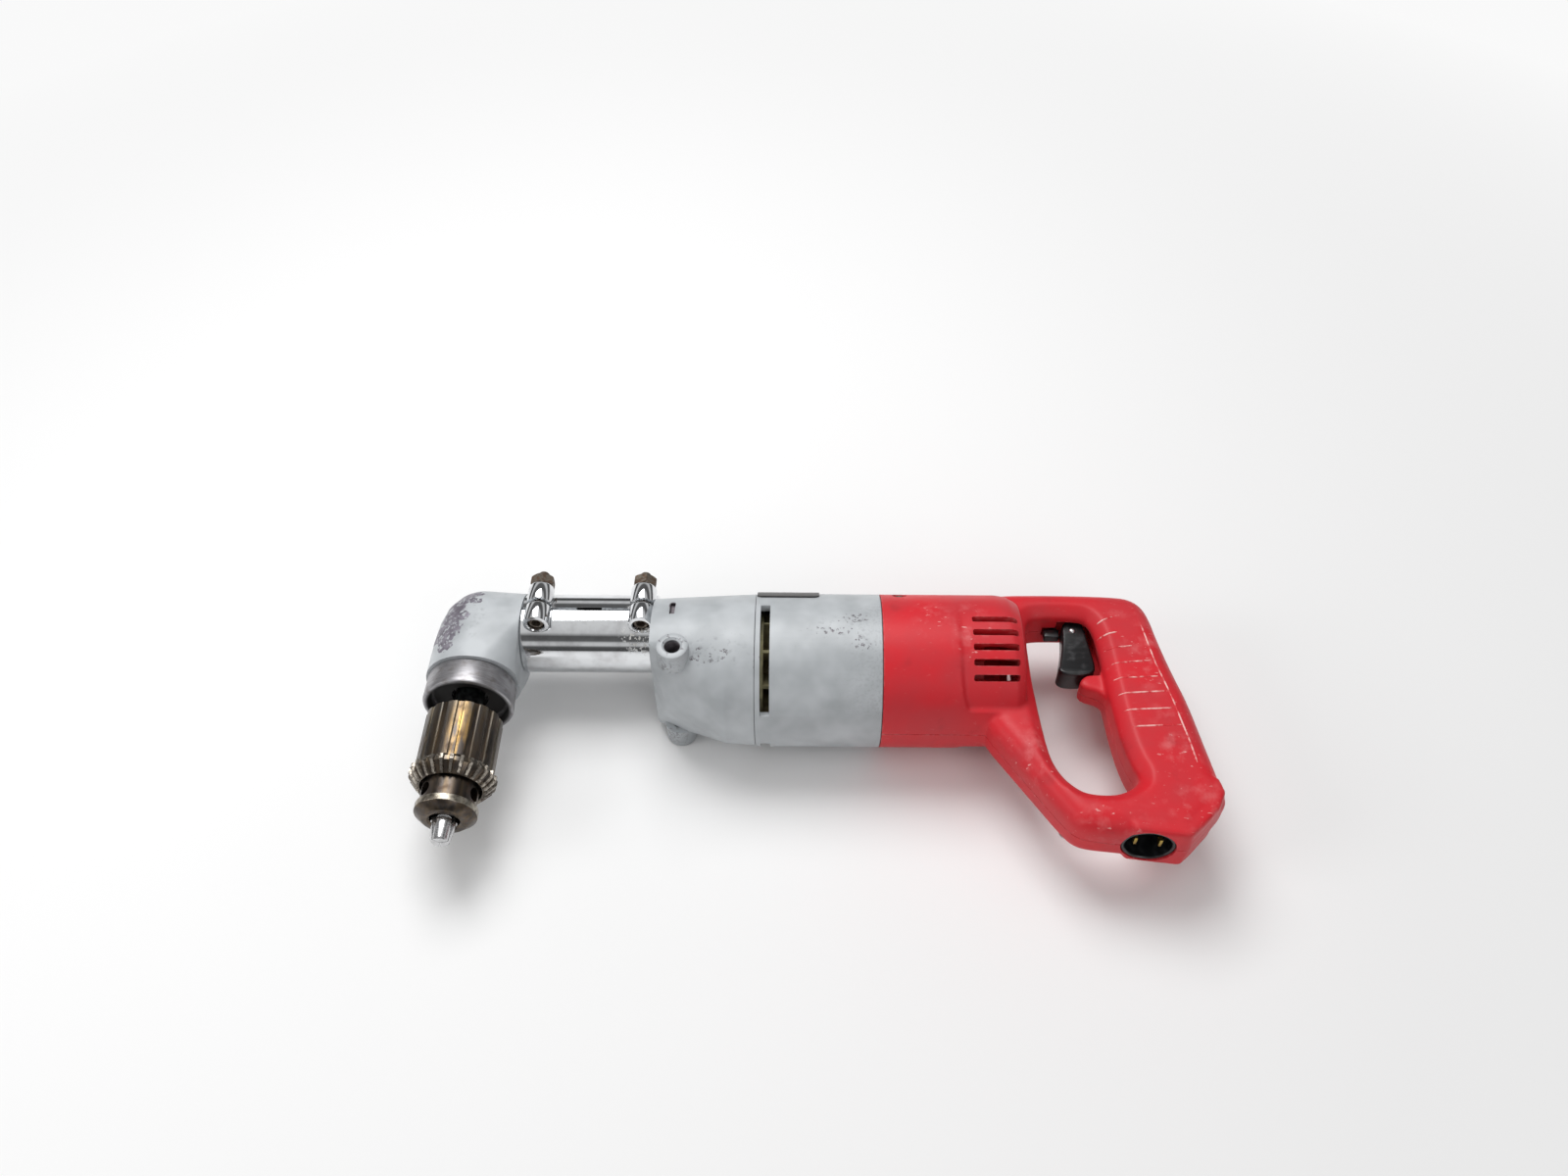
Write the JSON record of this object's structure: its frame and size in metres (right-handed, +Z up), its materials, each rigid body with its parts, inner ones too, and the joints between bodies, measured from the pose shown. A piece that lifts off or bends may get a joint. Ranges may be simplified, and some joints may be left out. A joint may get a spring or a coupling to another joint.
{
  "type": "right angle drill",
  "caption": "Corded right angle drill with a swivelling bevel gear head, keyed chuck, split clamp sleeve, round motor housing and D handle with trigger.",
  "frame": {"origin": "middle of the bounding box in X and Y, on the surface that the drill lies on", "axes": "+X along the motor from the chuck to the D handle, -Y the way the chuck and the low end of the handle point, +Z up, across the two handle halves"},
  "size_m": [0.4404, 0.1656, 0.0876],
  "materials": {
    "grey_painted_casting": "satin",
    "bare_steel": "satin",
    "dark_steel": "satin",
    "sleeve_chrome": "polished",
    "rusty_fastener": "matte",
    "red_handle": "satin",
    "black_moulding": "satin",
    "brown_phenolic": "matte",
    "copper_winding": "satin",
    "bare_casting": "matte",
    "carbon_block": "matte",
    "brass_fitting": "satin"
  },
  "bodies": {
    "housing": {"gearcase": "grey_painted_casting", "gear_plate": "bare_casting", "bearing_plate": "bare_casting", "motor_housing": "grey_painted_casting", "data_plate": "black_moulding", "field_core": "bare_steel", "field_coil_1": "copper_winding", "field_coil_2": "copper_winding", "brush_1": "carbon_block", "brush_2": "carbon_block", "brush_holder_1": "brass_fitting", "brush_holder_2": "brass_fitting", "brush_spring_1": "bare_steel", "brush_spring_2": "bare_steel", "armature_front_bearing": "bare_steel", "armature_rear_bearing": "bare_steel", "handle_upper_half": "red_handle", "handle_lower_half": "red_handle", "handle_screw_1": "bare_steel", "handle_screw_2": "bare_steel", "handle_screw_3": "bare_steel", "seam_screw_1": "rusty_fastener", "seam_screw_2": "rusty_fastener", "switch_body": "brown_phenolic", "inlet_socket": "black_moulding", "inlet_blade_1": "brass_fitting", "inlet_blade_2": "brass_fitting", "intermediate_front_bush": "brass_fitting", "intermediate_rear_bush": "brass_fitting", "clamp_sleeve": "sleeve_chrome", "clamp_screw_1": "dark_steel", "clamp_screw_2": "dark_steel", "clamp_nut_1": "rusty_fastener", "clamp_nut_2": "rusty_fastener", "spindle_front_bearing": "bare_steel", "spindle_rear_bush": "brass_fitting"},
    "head": {"head_housing": "grey_painted_casting", "head_end_cap": "bare_steel", "spindle_top_bearing": "bare_steel", "spindle_low_bearing": "bare_steel", "pinion_bearing": "bare_steel"},
    "output": {"output_spindle": "dark_steel", "output_bevel_gear": "bare_steel", "chuck_body": "dark_steel"},
    "pinion": {"bevel_pinion": "bare_steel"},
    "spindle": {"drill_spindle": "dark_steel", "spindle_gear": "bare_steel"},
    "intermediate": {"intermediate_shaft": "dark_steel", "intermediate_gear": "bare_steel"},
    "armature": {"armature_shaft": "bare_steel", "armature_core": "copper_winding", "commutator": "copper_winding", "cooling_fan": "black_moulding"},
    "chuck_ring": {"chuck_sleeve": "dark_steel", "chuck_nut": "dark_steel"},
    "jaw_1": {"chuck_jaw_1": "bare_steel"},
    "jaw_2": {"chuck_jaw_2": "bare_steel"},
    "jaw_3": {"chuck_jaw_3": "bare_steel"},
    "trigger": {"trigger": "black_moulding"},
    "reverse_lever": {"reverse_lever": "black_moulding"}
  },
  "joints": [
    {"name": "head_swivel", "type": "hinge", "parent": "housing", "child": "head", "pos_m": [-0.19365, 0.0578, 0.04382], "axis": [1, 0, 0], "continuous": true},
    {"name": "armature_spin", "type": "hinge", "parent": "housing", "child": "armature", "pos_m": [0.00635, 0.0322, 0.04382], "axis": [1, 0, 0], "continuous": true},
    {"name": "intermediate_spin", "type": "hinge", "parent": "housing", "child": "intermediate", "pos_m": [-0.06365, 0.04424, 0.02912], "axis": [1, 0, 0], "continuous": true},
    {"name": "spindle_spin", "type": "hinge", "parent": "housing", "child": "spindle", "pos_m": [-0.19365, 0.0578, 0.04382], "axis": [1, 0, 0], "continuous": true},
    {"name": "pinion_spin", "type": "hinge", "parent": "head", "child": "pinion", "pos_m": [-0.19365, 0.0578, 0.04382], "axis": [1, 0, 0], "continuous": true},
    {"name": "output_spin", "type": "hinge", "parent": "head", "child": "output", "pos_m": [-0.19365, 0.0578, 0.04382], "axis": [0, -1, 0], "continuous": true},
    {"name": "chuck_ring_turn", "type": "hinge", "parent": "output", "child": "chuck_ring", "pos_m": [-0.19365, 0.0578, 0.04382], "axis": [0, -1, 0], "range_deg": [0, 7560]},
    {"name": "jaw_1_slide", "type": "slide", "parent": "output", "child": "jaw_1", "axis": [0.0441, 0.9833, 0.1768], "range_m": [0, 0.03]},
    {"name": "jaw_2_slide", "type": "slide", "parent": "output", "child": "jaw_2", "axis": [0.1311, 0.9833, -0.1266], "range_m": [0, 0.03]},
    {"name": "jaw_3_slide", "type": "slide", "parent": "output", "child": "jaw_3", "axis": [-0.1752, 0.9833, -0.0502], "range_m": [0, 0.03]},
    {"name": "trigger_pull", "type": "hinge", "parent": "housing", "child": "trigger", "pos_m": [0.15426, 0.0592, 0.04382], "axis": [0, 0, 1], "range_deg": [0, 12], "stiffness_Nm_per_rad": 1, "springref_deg": -5.73},
    {"name": "reverse_lever_swing", "type": "hinge", "parent": "housing", "child": "reverse_lever", "pos_m": [0.14526, 0.06179, 0.04382], "axis": [0, 1, 0], "range_deg": [-14, 14]}
  ],
  "couplings": [
    {"joint": "intermediate_spin", "follows": "armature_spin", "ratio": -0.26667},
    {"joint": "spindle_spin", "follows": "armature_spin", "ratio": 0.10435},
    {"joint": "pinion_spin", "follows": "armature_spin", "ratio": 0.10435},
    {"joint": "output_spin", "follows": "armature_spin", "ratio": -0.069565},
    {"joint": "jaw_1_slide", "follows": "chuck_ring_turn", "m_per_rad": 0.00022736},
    {"joint": "jaw_2_slide", "follows": "chuck_ring_turn", "m_per_rad": 0.00022736},
    {"joint": "jaw_3_slide", "follows": "chuck_ring_turn", "m_per_rad": 0.00022736}
  ]
}
